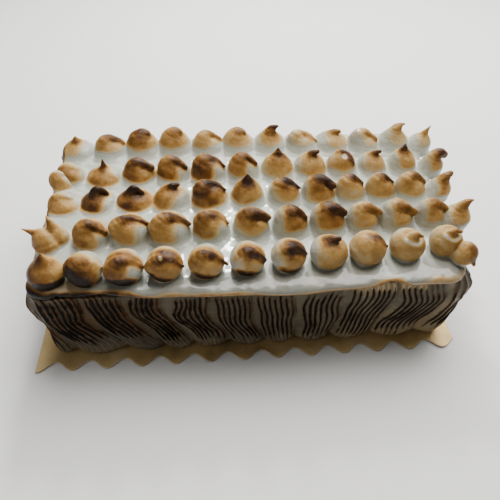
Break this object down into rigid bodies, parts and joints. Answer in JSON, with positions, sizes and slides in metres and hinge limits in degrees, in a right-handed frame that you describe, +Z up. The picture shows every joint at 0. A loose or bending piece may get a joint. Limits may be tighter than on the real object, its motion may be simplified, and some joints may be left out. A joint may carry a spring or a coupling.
{
  "type": "baked alaska",
  "caption": "Long block cake covered in torched meringue: ribbed piped ribbons down its sides, rows of browned kisses on a smooth top slab, on a gold card with waved edges.",
  "frame": {"origin": "centre of the card's underside, on the ground", "axes": "+Z up, +X to the right along the long side, +Y from the front edge towards the back"},
  "size_m": [0.37, 0.2206, 0.1063],
  "materials": {
    "card": "pale gold foil on card, satin, grease-spotted",
    "side_meringue": "soft meringue, its ridges torched dark brown",
    "top_meringue": "wet, slightly glossy white meringue",
    "kiss_meringue": "meringue browned by a torch, near black at its tips"
  },
  "bodies": {
    "root": {"cake_card": "card", "cake_body": "side_meringue", "meringue_slab": "top_meringue", "kiss_row_1": "kiss_meringue", "kiss_row_2": "kiss_meringue", "kiss_row_3": "kiss_meringue", "kiss_row_4": "kiss_meringue", "kiss_row_5": "kiss_meringue"}
  },
  "joints": []
}
